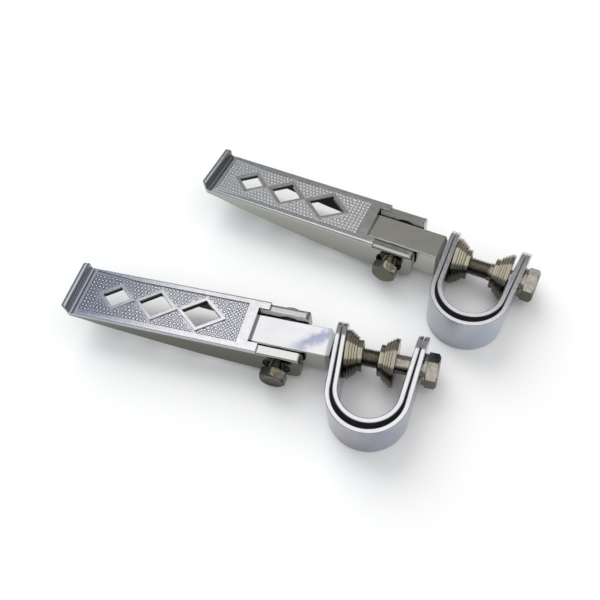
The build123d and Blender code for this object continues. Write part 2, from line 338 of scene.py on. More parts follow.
class FinishBench(NodeBench):
    """Builds one material on a Principled shader and Object coordinates."""

    middle_range: Span = (0.3, 0.7)
    edge_samples: int = 4

    def __init__(self, name: str, axes: PegAxes, metallic: float) -> None:
        """Start the material.

        Args:
            name: Name of the material.
            axes: Axes of the peg that it is for.
            metallic: 1 for metal, 0 for anything else.
        """
        self.axes = axes
        self.material = bpy.data.materials.new(name)
        self.material.use_nodes = True
        super().__init__(self.material.node_tree)
        self.shader = self.tree.nodes["Principled BSDF"]
        self.shader.inputs["Metallic"].default_value = metallic
        own = self.node("ShaderNodeTexCoord")
        self.place = own["Object"]
        right, _, up = self.parts(own["Normal"])
        self.measures = {Way.FACING_RIGHT: right, Way.FACING_UP: up}

    def noise(self, cloud: Cloud) -> Socket:
        """Cloudy pattern, which mostly stays in the middle of 0 to 1."""
        given = {"Vector": self.place, "Scale": cloud.per_metre, "Detail": cloud.detail}
        return self.node("ShaderNodeTexNoise", given)["Fac"]

    def spread(self, cloud: Cloud, low: float = 0.0, high: float = 1.0) -> Socket:
        """Cloudy pattern whose middle range runs from low to high."""
        return self.mapped(self.noise(cloud), self.middle_range, (low, high))

    def turned_to(self, origin: np.ndarray) -> Socket:
        """Place on the peg's directions from a point.

        Args:
            origin: The point, in metres.

        Returns:
            Socket of the place, in metres.
        """
        turn = -math.atan2(self.axes.along[1], self.axes.along[0])
        shift = -(Matrix.Rotation(turn, 3, "Z") @ Vector(origin.tolist()))
        given = {"Vector": self.place, "Rotation": (0.0, 0.0, turn), "Location": tuple(shift)}
        return self.node("ShaderNodeMapping", given)["Vector"]

    def measure(self, way: Way) -> Socket:
        """What an edge is measured on, worked out when it is first asked for.

        Args:
            way: Which measure.

        Returns:
            Its socket.
        """
        if way not in self.measures:
            given = {"Vector": self.turned_to(self.axes.origin), "Scale": 1.0 / MM}
            scaled = self.node("ShaderNodeVectorMath", given, operation="SCALE")
            along, across, up = self.parts(scaled["Vector"])
            ways = (Way.ALONG, Way.ACROSS, Way.UP, Way.OFF_MIDDLE)
            self.measures.update(zip(ways, (along, across, up, self.maths("ABSOLUTE", across))))
        return self.measures[way]

    def edge(self, edge: Edge, wanted: Span = (0.0, 1.0)) -> Socket:
        """Smooth step over an edge, from 0 to 1 unless other ends are asked for."""
        return self.rise(self.measure(edge.way), (edge.start, edge.end), wanted)

    def zone(self, edges: Zone) -> Amount:
        """Mask of a zone: the product of the steps over its edges."""
        return self.product(*[self.edge(edge) for edge in edges])

    def lathe_place(self) -> Socket:
        """Place round the peg's clamp bolt, the same all round it.

        Returns:
            Socket of the distance along the bolt and the distance from its axis.
        """
        centre = self.axes.origin + self.axes.bolt_height * UP
        along, off_side, off_up = self.parts(self.turned_to(centre))
        flat = self.node("ShaderNodeCombineXYZ", {"Y": off_side, "Z": off_up})
        off = self.node("ShaderNodeVectorMath", flat, operation="LENGTH")
        return self.node("ShaderNodeCombineXYZ", {"X": along, "Y": off["Value"]})["Vector"]

    def rounded_edges(self, radius_mm: float) -> Socket:
        """Normal with the sharp edges rounded by a small radius."""
        given = {"Radius": radius_mm * MM}
        return self.node("ShaderNodeBevel", given, samples=self.edge_samples)["Normal"]

    def raised(self, relief: Relief, under: Socket | None) -> Socket:
        """Lay a fine relief over a normal.

        Args:
            relief: The relief.
            under: Normal below it, if there is one.

        Returns:
            Socket of the new normal.
        """
        given = {"Height": self.noise(relief.cloud), "Strength": relief.strength}
        given["Distance"] = relief.depth_mm * MM
        if under is not None:
            given["Normal"] = under
        return self.node("ShaderNodeBump", given)["Normal"]

    def matt_where(self, mask: Socket) -> None:
        """Let a mask turn the mirror into a plain skin that the lamp lights."""
        self.feed(self.shader.inputs["Metallic"], self.maths("SUBTRACT", 1.0, mask))


@dataclass(frozen=True)
class Finish:
    """Finish of a piece. Its colour is worked out by each kind, and the rest is the same."""

    metallic: float = 1.0
    wear: Cloud = Cloud(700.0, 3.0)
    roughness: Span = (0.14, 0.26)
    edge_mm: float = 0.0
    reliefs: tuple[Relief, ...] = ()

    def colour(self, bench: FinishBench) -> Tint:
        """Colour of the skin, which each kind of finish gives."""
        raise NotImplementedError

    def material(self, name: str, axes: PegAxes) -> Material:
        """Join the colour, the wear, the rounded edges and the reliefs to the shader.

        Args:
            name: Name of the material.
            axes: Axes of the peg that it is for.

        Returns:
            The material.
        """
        bench = FinishBench(name, axes, self.metallic)
        inputs = bench.shader.inputs
        bench.feed(inputs["Base Color"], self.colour(bench))
        bench.feed(inputs["Roughness"], bench.spread(self.wear, *self.roughness))
        skin = bench.rounded_edges(self.edge_mm) if self.edge_mm else None
        for relief in self.reliefs:
            skin = bench.raised(relief, skin)
        if skin is not None:
            bench.feed(inputs["Normal"], skin)
        return bench.material


@dataclass(frozen=True)
class CastingZones:
    """Where the casting's tones change."""

    field_floor: Zone = (Edge(Way.UP, 24.45, 24.25), Edge(Way.UP, 23.7, 23.8))
    lip: Zone = (Edge(Way.ALONG, -117.7, -118.3), Edge(Way.UP, 24.9, 26.1))
    lip_foot: Zone = (Edge(Way.ALONG, -116.2, -117.0), Edge(Way.UP, 26.2, 25.2))
    lip_base: Zone = (Edge(Way.ALONG, -115.8, -116.6), Edge(Way.UP, 24.2, 24.8))
    outer_end: Edge = Edge(Way.ALONG, -74.0, -100.0)
    outer_wall: Zone = (outer_end, Edge(Way.OFF_MIDDLE, 14.8, 14.5), Edge(Way.UP, 23.8, 24.0))
    shoulder: Zone = (
        Edge(Way.UP, 21.2, 23.2), Edge(Way.ALONG, -10.2, -10.4), Edge(Way.OFF_MIDDLE, 14.5, 14.8),
    )
    ears: Zone = (Edge(Way.ALONG, -10.4, -10.2), Edge(Way.UP, 23.5, 23.2))
    far_half: Edge = Edge(Way.ACROSS, -1.0, 1.0)
    ear_wall: Zone = (
        Edge(Way.ALONG, -15.6, -15.4), Edge(Way.UP, 18.9, 19.7), Edge(Way.FACING_UP, 0.8, 0.3),
    )
    channel: Edge = Edge(Way.UP, 23.9, 23.5)
    channel_half_width: float = 11.8
    notch: Edge = Edge(Way.ALONG, -16.1, -15.9)
    notch_half_width: float = 10.45
    pivot_height: float = 13.2
    pocket_radius: float = 7.75
    pocket_floor: float = -12.9

    def inside(self, bench: FinishBench) -> Socket:
        """Mask of the painted shade in the channel under the plate and in the notch between the
        ears.

        Args:
            bench: Bench of the material.

        Returns:
            Socket of the mask.
        """
        wall = bench.edge(self.notch, (self.channel_half_width, self.notch_half_width))
        between = bench.maths("LESS_THAN", bench.measure(Way.OFF_MIDDLE), wall)
        return bench.product(between, bench.edge(self.channel))

    def pocket(self, bench: FinishBench) -> Socket:
        """Mask of the painted shade in the pivot bolt's pocket, where along^2 + above^2 <
        radius^2.

        Args:
            bench: Bench of the material.

        Returns:
            Socket of the mask.
        """
        along = bench.measure(Way.ALONG)
        above = bench.maths("SUBTRACT", bench.measure(Way.UP), self.pivot_height)
        squares = bench.maths("ADD", bench.product(along, along), bench.product(above, above))
        return bench.product(
            bench.maths("LESS_THAN", squares, self.pocket_radius ** 2),
            bench.maths("LESS_THAN", bench.measure(Way.ACROSS), self.pocket_floor),
        )


@dataclass(frozen=True)
class BrightCasting(Finish):
    """Plated casting in painted light: bright on top, olive down its sides, darkened as painted
    reflection, and nearly black as painted shade under the plate.
    """

    wear: Cloud = Cloud(620.0, 3.0)
    roughness: Span = (0.11, 0.19)
    edge_mm: float = 0.16
    reliefs: tuple[Relief, ...] = (
        Relief(Cloud(140.0, 2.0), 0.5, 0.08), Relief(Cloud(1500.0, 2.0), 0.05, 0.3),
    )
    stain: Cloud = Cloud(260.0, 4.0)
    top_light: Colour = (0.67, 0.66, 0.68)
    top_dark: Colour = (0.59, 0.59, 0.61)
    # Flanks darker than the tops as painted shade and painted reflection.
    side: Colour = (0.135, 0.134, 0.108)
    # Painted shade, nearly black, in the channel under the plate and the notch between the ears.
    inside: Colour = (0.035, 0.036, 0.03)
    # Painted shade in the recess between the pebbles on the front peg, painted light on the back
    # one.
    field_floor: Colour = (0.50, 0.50, 0.54)
    # Blue-grey painted reflection on the lip's crest and the outer end's walls; painted shade
    # down the lip's flank and in its groove.
    lip: Colour = (0.36, 0.37, 0.39)
    lip_side: Colour = (0.27, 0.28, 0.32)
    # Painted highlight along the flanks' top edge, blue-grey painted reflection toward the outer
    # end.
    shoulder_end: Colour = (0.34, 0.39, 0.44)
    shoulder_share: float = 1.0
    # Ear tops in painted light and shade, near and far.
    near_ear: Colour = (0.57, 0.57, 0.565)
    far_ear: Colour = (0.46, 0.465, 0.45)
    # Pale matt paint on the ears' inner walls, a painted reflection.
    ear_wall: Colour = (0.88, 0.90, 0.84)
    # Painted shade round the pivot bolt.
    pocket: Colour = (0.15, 0.15, 0.13)
    level: Edge = Edge(Way.FACING_UP, 0.15, 0.8)
    zones: CastingZones = CastingZones()

    def colour(self, bench: FinishBench) -> Tint:
        """Colour of the skin, with painted light: level faces lit, upright ones darker, and
        painted shade in the channel and the notch.

        The shoulders share the level faces' tone as a painted highlight. The ears' inner walls
        are pale plain paint, a painted reflection.

        Args:
            bench: Bench of the material.

        Returns:
            Socket of the colour.
        """
        zones = self.zones
        # Painted light: near and far ear tops take different tones.
        ear = bench.blend(bench.edge(zones.far_half), self.near_ear, self.far_ear)
        stained = bench.blend(bench.spread(self.stain), self.top_dark, self.top_light)
        top = bench.layered(stained, [
            # Recess between the pebbles in painted light and shade.
            (bench.zone(zones.field_floor), self.field_floor),
            (bench.zone(zones.lip), self.lip),
            (bench.zone(zones.lip_foot), self.lip_side),
            (bench.zone(zones.ears), ear),
        ])
        # Painted highlight on the flanks' upper edge, turning to painted reflection at the outer
        # end.
        shoulder = bench.blend(bench.edge(zones.outer_end), top, self.shoulder_end)
        flanks = bench.layered(self.side, [
            (bench.product(bench.zone(zones.shoulder), self.shoulder_share), shoulder),
            # Painted reflection on the outer end's walls, painted shade at the lip's foot.
            (bench.zone(zones.outer_wall), self.lip),
            (bench.zone(zones.lip_base), self.lip_side),
        ])
        # Painted light: level faces take the lit top tone, upright ones the darker flank tone.
        skin = bench.blend(bench.edge(self.level), flanks, top)
        inside = zones.inside(bench)
        pocket = zones.pocket(bench)
        # Ears' inner walls turned matt and pale as a painted reflection.
        ear_wall = bench.product(inside, bench.zone(zones.ear_wall))
        bench.matt_where(ear_wall)
        return bench.layered(skin, [
            (inside, self.inside), (pocket, self.pocket), (ear_wall, self.ear_wall),
        ])


@dataclass(frozen=True)
class PebbleCasting(Finish):
    """The casting's pebbles: painted highlight on the crowns that face up, varied at random, and
    painted shade round their feet.
    """

    wear: Cloud = Cloud(700.0, 2.0)
    roughness: Span = (0.16, 0.26)
    polish: Cloud = Cloud(900.0, 2.0)
    least_polish: float = 0.75
    # Painted highlight on the crowns, bluish painted reflection on the outer ones, painted shade
    # at the feet.
    crown: Colour = (0.80, 0.79, 0.82)
    outer_crown: Colour = (0.50, 0.52, 0.58)
    foot: Colour = (0.13, 0.13, 0.15)
    inner_end: Edge = Edge(Way.ALONG, -105.0, -65.0)
    level: Edge = Edge(Way.FACING_UP, 0.45, 0.8)

    def colour(self, bench: FinishBench) -> Tint:
        """Colour of the skin: painted light by how level it is, and bluish painted reflection
        toward the tread's outer end.

        Args:
            bench: Bench of the material.

        Returns:
            Socket of the colour.
        """
        # Painted highlight where a crown faces up, varied at random.
        wear_and_highlight = bench.product(bench.edge(self.level), bench.spread(self.polish, self.least_polish))
        crown = bench.blend(bench.edge(self.inner_end), self.outer_crown, self.crown)
        return bench.blend(wear_and_highlight, self.foot, crown)


@dataclass(frozen=True)
class PaintedReflectionStreak:
    """Lilac painted reflection that lies slanted across the bar's top, in millimetres and
    degrees.
    """

    tint: Colour = (0.30, 0.325, 0.42)
    slant: float = 35.0
    off_pivot: float = -9.8
    half_width: Span = (5.4, 0.27)
    stray: float = 1.3
    cloud: Cloud = Cloud(260.0, 3.0)
    fade: Edge = Edge(Way.ALONG, 2.0, 14.0)

    def lay(self, bench: FinishBench, skin: Tint) -> Socket:
        """Lay a soft band of painted reflection over a skin: the distance from a slanted line,
        stirred by a cloud.

        Args:
            bench: Bench of the material.
            skin: Colour underneath.

        Returns:
            Socket of the colour.
        """
        slant = math.radians(self.slant)
        across = bench.product(bench.measure(Way.ACROSS), math.cos(slant))
        along = bench.product(bench.measure(Way.ALONG), math.sin(slant))
        off = bench.maths("SUBTRACT", bench.maths("SUBTRACT", across, along), self.off_pivot)
        off = bench.maths("ADD", off, bench.spread(self.cloud, -self.stray, self.stray))
        band = bench.rise(bench.maths("ABSOLUTE", off), self.half_width)
        return bench.blend(bench.product(band, bench.edge(self.fade)), skin, self.tint)


@dataclass(frozen=True)
class BarPaintedLight:
    """Painted light and shade on the bar's sides in the gap between the ears, and on its
    chamfered end by how far it faces up.
    """

    gap: Colour
    chamfer_top: Colour
    chamfer_side: Colour
    gap_zone: Zone = (
        Edge(Way.FACING_UP, 0.5, 0.2), Edge(Way.UP, 20.2, 20.8), Edge(Way.ALONG, 13.0, 12.0),
    )
    chamfer_zone: Zone = (Edge(Way.FACING_RIGHT, 0.45, 0.6), Edge(Way.FACING_RIGHT, 0.95, 0.85))
    chamfer_level: Edge = Edge(Way.FACING_UP, 0.3, 0.6)

    def lay(self, bench: FinishBench, skin: Tint) -> Tint:
        """Lay the painted light and shade over the bar's skin as plain paint.

        Args:
            bench: Bench of the material.
            skin: Colour underneath.

        Returns:
            Socket of the colour.
        """
        in_gap = bench.zone(self.gap_zone)
        on_chamfer = bench.zone(self.chamfer_zone)
        chamfer = bench.blend(bench.edge(self.chamfer_level), self.chamfer_side, self.chamfer_top)
        bench.matt_where(bench.maths("MAXIMUM", in_gap, on_chamfer))
        return bench.layered(skin, [(in_gap, self.gap), (on_chamfer, chamfer)])


@dataclass(frozen=True)
class WornPatches:
    """Specks of lilac and pale blue where the plating has been rubbed."""

    lilac: Colour = (0.58, 0.54, 0.60)
    blue: Colour = (0.50, 0.57, 0.62)
    share: float = 0.45
    least_share: float = 0.35
    tints: Cloud = Cloud(60.0, 2.0)
    specks: Cloud = Cloud(750.0, 4.0)
    patches: Cloud = Cloud(120.0, 2.0)

    def lay(self, bench: FinishBench, skin: Tint) -> Socket:
        """Lay the specks over a skin.

        Args:
            bench: Bench of the material.
            skin: Colour underneath.

        Returns:
            Socket of the colour.
        """
        wear_and_highlight = bench.blend(bench.spread(self.tints), self.lilac, self.blue)
        specks = bench.spread(self.specks, 0.0, self.share)
        patches = bench.spread(self.patches, self.least_share)
        return bench.blend(bench.product(specks, patches), skin, wear_and_highlight)


POLISHING_MARKS = Relief(Cloud(2600.0, 1.0), 0.02, 0.2)


@dataclass(frozen=True)
class MirrorPlate(Finish):
    """Plated and polished steel with painted light: bright on top, darker on its sides, which
    take a painted reflection by which way they face, with polishing marks.
    """

    wear: Cloud = Cloud(480.0, 5.0)
    roughness: Span = (0.05, 0.11)
    edge_mm: float = 0.3
    reliefs: tuple[Relief, ...] = (Relief(Cloud(70.0, 1.0), 0.35, 0.08), POLISHING_MARKS)
    haze: Cloud = Cloud(90.0, 3.0)
    top_light: Colour = (0.63, 0.62, 0.64)
    top_dark: Colour = (0.57, 0.57, 0.59)
    # Sides in painted reflection, one tone facing left and another facing right.
    left_side: Colour = (0.49, 0.495, 0.42)
    right_side: Colour = (0.42, 0.43, 0.46)
    turn: Edge = Edge(Way.FACING_RIGHT, -0.5, 0.9)
    level: Edge = Edge(Way.FACING_UP, 0.2, 0.75)
    streak: PaintedReflectionStreak | None = None
    patches: WornPatches | None = None
    shades: BarPaintedLight | None = None

    def colour(self, bench: FinishBench) -> Tint:
        """Colour of the skin, in painted light and painted reflection by which way it faces.

        Args:
            bench: Bench of the material.

        Returns:
            Socket of the colour.
        """
        top = bench.blend(bench.spread(self.haze), self.top_dark, self.top_light)
        side = bench.blend(bench.edge(self.turn), self.left_side, self.right_side)
        if self.streak:
            top = self.streak.lay(bench, top)
        if self.patches:
            side = self.patches.lay(bench, side)
        # Painted light: lit tone on top, darker tone down the sides.
        skin = bench.blend(bench.edge(self.level), side, top)
        return self.shades.lay(bench, skin) if self.shades else skin


@dataclass(frozen=True)
class LinerRubber(Finish):
    """Black rubber with a dull, slightly dusty skin."""

    metallic: float = 0.0
    wear: Cloud = Cloud(900.0, 2.0)
    roughness: Span = (0.5, 0.75)
    reliefs: tuple[Relief, ...] = (Relief(Cloud(1800.0, 3.0), 0.06, 0.5),)
    dust: Cloud = Cloud(300.0, 4.0)
    black: Colour = (0.002, 0.002, 0.003)
    dusty: Colour = (0.006, 0.006, 0.008)
    shine: float = 0.12

    def colour(self, bench: FinishBench) -> Tint:
        """Black with a little dust, and less shine than most materials have."""
        bench.shader.inputs["Specular IOR Level"].default_value = self.shine
        return bench.blend(bench.spread(self.dust), self.black, self.dusty)


@dataclass(frozen=True)
class FastenerSteel(Finish):
    """Plain steel of the bolts: brown-grey, darker down the sides and underneath as painted
    shade.
    """

    edge_mm: float = 0.35
    reliefs: tuple[Relief, ...] = (Relief(Cloud(700.0, 3.0), 0.16, 0.4),)
    stain: Cloud = Cloud(480.0, 4.0)
    top_light: Colour = (0.36, 0.34, 0.295)
    top_dark: Colour = (0.23, 0.21, 0.175)
    # Painted shade down the sides and underneath.
    side: Colour = (0.15, 0.14, 0.115)
    under: Colour = (0.03, 0.028, 0.023)
    level: Edge = Edge(Way.FACING_UP, 0.1, 0.85)
    upright: Edge = Edge(Way.FACING_UP, -0.5, 0.15)

    def colour(self, bench: FinishBench) -> Tint:
        """Colour of the skin, in painted light and shade by how far it faces up.

        Args:
            bench: Bench of the material.

        Returns:
            Socket of the colour.
        """
        top = bench.blend(bench.spread(self.stain), self.top_dark, self.top_light)
        upper = bench.blend(bench.edge(self.level), self.side, top)
        return bench.blend(bench.edge(self.upright), self.under, upper)


RINGS = Cloud(5200.0, 2.0)


@dataclass(frozen=True)
class TurnedSteel(FastenerSteel):
    """Lathe-turned steel: fine rings round the clamp bolt's axis, warm grey, with painted shade
    underneath.
    """

    wear: Cloud = RINGS
    roughness: Span = (0.10, 0.22)
    edge_mm: float = 0.22
    reliefs: tuple[Relief, ...] = (Relief(RINGS, 0.04, 0.5),)
    stain: Cloud = RINGS
    top_light: Colour = (0.43, 0.395, 0.32)
    top_dark: Colour = (0.19, 0.172, 0.132)
    # Painted shade down the sides and underneath.
    side: Colour = (0.115, 0.105, 0.08)
    under: Colour = (0.03, 0.028, 0.021)
    level: Edge = Edge(Way.FACING_UP, 0.1, 0.9)

    def colour(self, bench: FinishBench) -> Tint:
        """Colour as on the bolts, with every pattern run round the clamp bolt."""
        bench.place = bench.lathe_place()
        return super().colour(bench)


@dataclass(frozen=True)
class PegFinishes:
    """Finishes of one peg's pieces, as on the front peg unless others are given. The back peg's
    tones are lit and shaded copies of the front peg's, as painted light and shade.
    """

    casting: BrightCasting = BrightCasting()
    pebbles: PebbleCasting = PebbleCasting()
    bar: MirrorPlate = MirrorPlate(
        streak=PaintedReflectionStreak(),
        shades=BarPaintedLight((0.75, 0.75, 0.74), (0.82, 0.81, 0.85), (0.52, 0.53, 0.46)),
    )
    strap: MirrorPlate = MirrorPlate(
        left_side=(0.27, 0.265, 0.26), right_side=(0.36, 0.40, 0.50), roughness=(0.10, 0.18),
        reliefs=(Relief(Cloud(70.0, 1.0), 0.5, 0.08), POLISHING_MARKS),
        patches=WornPatches(),
    )
    pivot_bolt: FastenerSteel = FastenerSteel(
        top_light=(0.24, 0.215, 0.165), top_dark=(0.10, 0.088, 0.068), side=(0.045, 0.04, 0.03),
    )
    # Washers nearly black as painted shade between the ears.
    washers: FastenerSteel = FastenerSteel(
        top_light=(0.03, 0.03, 0.03), top_dark=(0.02, 0.02, 0.02), side=(0.02, 0.02, 0.02),
    )
    fastener: FastenerSteel = FastenerSteel()
    cones: TurnedSteel = TurnedSteel()
    rubber: LinerRubber = LinerRubber()


FRONT_FINISHES = PegFinishes()
# The back peg's tones are painted light and shade: the same finishes, lighter or darker than the
# front peg's.
BACK_FINISHES = PegFinishes(
    casting=BrightCasting(
        top_light=(0.60, 0.60, 0.59), top_dark=(0.51, 0.51, 0.51), side=(0.36, 0.365, 0.33),
        field_floor=(0.90, 0.90, 0.91), lip_side=(0.13, 0.135, 0.135),
        shoulder_end=(0.45, 0.46, 0.47), shoulder_share=0.25, near_ear=(0.36, 0.36, 0.35),
        far_ear=(0.50, 0.51, 0.48), ear_wall=(0.6, 0.6, 0.56), pocket=(0.05, 0.05, 0.042),
        edge_mm=0.3,
    ),
    pebbles=PebbleCasting(
        crown=(0.78, 0.78, 0.79), outer_crown=(0.66, 0.67, 0.68), foot=(0.36, 0.36, 0.36),
        roughness=(0.24, 0.36),
    ),
    bar=MirrorPlate(
        top_light=(0.63, 0.63, 0.595), top_dark=(0.56, 0.565, 0.53),
        left_side=(0.66, 0.665, 0.57), right_side=(0.54, 0.56, 0.58),
        shades=BarPaintedLight((0.35, 0.35, 0.33), (0.22, 0.22, 0.21), (0.46, 0.47, 0.40)),
    ),
    strap=replace(
        FRONT_FINISHES.strap, left_side=(0.35, 0.36, 0.38), right_side=(0.50, 0.56, 0.66)
    ),
    pivot_bolt=FastenerSteel(
        top_light=(0.38, 0.35, 0.28), top_dark=(0.20, 0.18, 0.14), side=(0.13, 0.12, 0.09),
    ),
)


@dataclass
class TreadPebbles:
    """Raised pebbles on the recessed field of one tread, round the framed cut-outs.

    Sizes are in millimetres on the peg's axes. Rows of pebbles near both ends of the field
    stay in step, and the others are staggered by half a pitch.
    """

    side: Side
    axes: PegAxes
    pitch: float = 2.195
    row_pitch: float = 2.15
    rows_each_side: int = 7
    radius: float = 1.04
    height: float = 0.6
    sunk: float = 0.12
    stray: float = 0.12
    size_range: Span = (0.88, 1.08)
    seed: int = 7
    field_floor: float = 24.1
    field_start: float = -113.8
    field_end: float = -21.7
    field_narrow_x: float = -86.0
    even_start: float = 7.0
    even_end: float = 10.0
    half_start: float = 13.9
    half_width: float = 12.0
    margin: float = 0.95
    slack: float = 0.01
    frame_width: float = 1.75
    diamonds: tuple = ((-95.7, 8.3, 6.4), (-71.9, 10.0, 7.7), (-45.4, 11.4, 8.4))
    around: int = 9
    ring_rise: tuple = (0.0, 0.42, 0.8)
    smooth_angle: float = 80.0

    def centres(self) -> np.ndarray:
        """Lay out the pebbles in staggered rows and keep those on the open field.

        Returns:
            Array of (along, across) places.
        """
        end = self.field_end - self.margin + self.slack
        columns = np.arange(self.field_start + self.margin, end, self.pitch)
        row = np.arange(-self.rows_each_side, self.rows_each_side + 1)
        x, y = np.meshgrid(columns, row * self.row_pitch)
        even = (x > self.field_end - self.even_end) | (x < self.field_start + self.even_start)
        x = x + np.where((row % 2 == 1)[:, None] & ~even, self.pitch / 2, 0.0)
        places = np.stack([x.ravel(), y.ravel()], -1)
        return places[self.on_field(places)]

    def on_field(self, places: np.ndarray) -> np.ndarray:
        """Tell which places lie on the field and clear of every frame.

        The field's half width falls in a line from its outer end to its narrow part. A
        diamond is |along| / a + |across| / b = 1, grown evenly by the frame and the margin.

        Args:
            places: Array of (along, across) places.

        Returns:
            True or false for each place.
        """
        x, y = places.T
        run = self.field_narrow_x - self.field_start
        share = np.clip((x - self.field_start) / run, 0.0, 1.0)
        half = self.half_start + share * (self.half_width - self.half_start)
        good = np.abs(y) < half - self.margin
        good &= x < self.field_end - self.margin + 2 * self.slack
        for centre, a, b in self.diamonds:
            grow = (self.frame_width + self.margin) * math.hypot(a, b) / (a * b)
            good &= np.abs(x - centre) / a + np.abs(y) / b > 1.0 + grow
        return good

    def build(self) -> bpy.types.Object:
        """Raise every pebble: rings of a dome whose height is the cosine of its slope.

        Returns:
            One mesh with all the pebbles, riding on the tread.
        """
        places = self.centres()
        chance = np.random.default_rng(self.seed)
        places = places + chance.uniform(-self.stray, self.stray, places.shape)
        size = chance.uniform(*self.size_range, len(places))
        rise = np.array(self.ring_rise)
        ring_radius = self.radius * np.sqrt(1.0 - rise**2)
        ring_height = self.field_floor + self.height * rise
        ring_height[0] = self.field_floor - self.sunk
        angle = 2 * np.pi * np.arange(self.around) / self.around
        circle = np.stack([np.cos(angle), np.sin(angle)], -1)
        count, levels = len(places), len(rise)
        points = np.empty((count, levels * self.around + 1, 3))
        offset = ring_radius[None, :, None, None] * circle * size[:, None, None, None]
        points[:, :-1, :2] = (places[:, None, None, :] + offset).reshape(count, -1, 2)
        points[:, :-1, 2] = np.repeat(ring_height, self.around)
        points[:, -1, :2] = places
        points[:, -1, 2] = self.field_floor + self.height
        vertices = self.axes.to_row(points).reshape(-1, 3)
        name = f"{self.side.value}_tread_pebbles"
        piece = surface_object(name, vertices, self.dome_faces(count, levels), self.smooth_angle)
        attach(piece, f"{self.side.value}_tread")
        return piece

    def dome_faces(self, count: int, levels: int) -> list:
        """Faces of every dome: quads between rings, a fan at the crown and a floor.

        Args:
            count: Number of domes.
            levels: Rings in each dome.

        Returns:
            Vertex numbers of all the faces.
        """
        here = np.arange(self.around)
        there = np.roll(here, -1)
        first = (levels * self.around + 1) * np.arange(count)[:, None]
        quads = (first[:, :, None] + ring_quads(levels, self.around)).reshape(-1, 4)
        top = (levels - 1) * self.around
        fan = np.stack([top + here, top + there, np.full(self.around, levels * self.around)], -1)
        fans = (first[:, :, None] + fan).reshape(-1, 3)
        floors = first + here[::-1]
        return quads.tolist() + fans.tolist() + floors.tolist()


@dataclass(frozen=True)
class BoltSize:
    """Sizes of a hexagon bolt and the shape of its head and thread, in millimetres.

    The dish is the shallow hollow on the head. Its shares are of the crown's rim. The
    underside's places come with how far each stands out past the flats. The groove is a
    triangle wave, steepened by its gain and pushed down by its land.
    """

    diameter: float
    length: float
    flats: float
    head_height: float
    smooth_length: float
    pitch: float = 1.25
    dish_depth: float = 0.35
    dish_shares: Triple = (0.30, 0.62, 0.78)
    rim_inset: float = 0.3
    crown_slope: float = 37.5
    underside: tuple = (-0.25, -0.12, 0.0)
    underside_spare: Span = (0.7, 0.4)
    tip_share: float = 0.09
    plain_gap: float = 0.4
    groove_share: float = 0.6
    groove_gain: float = 1.25
    groove_land: float = 0.12
    run_in: float = 0.2
    run_in_turns: float = 1.5


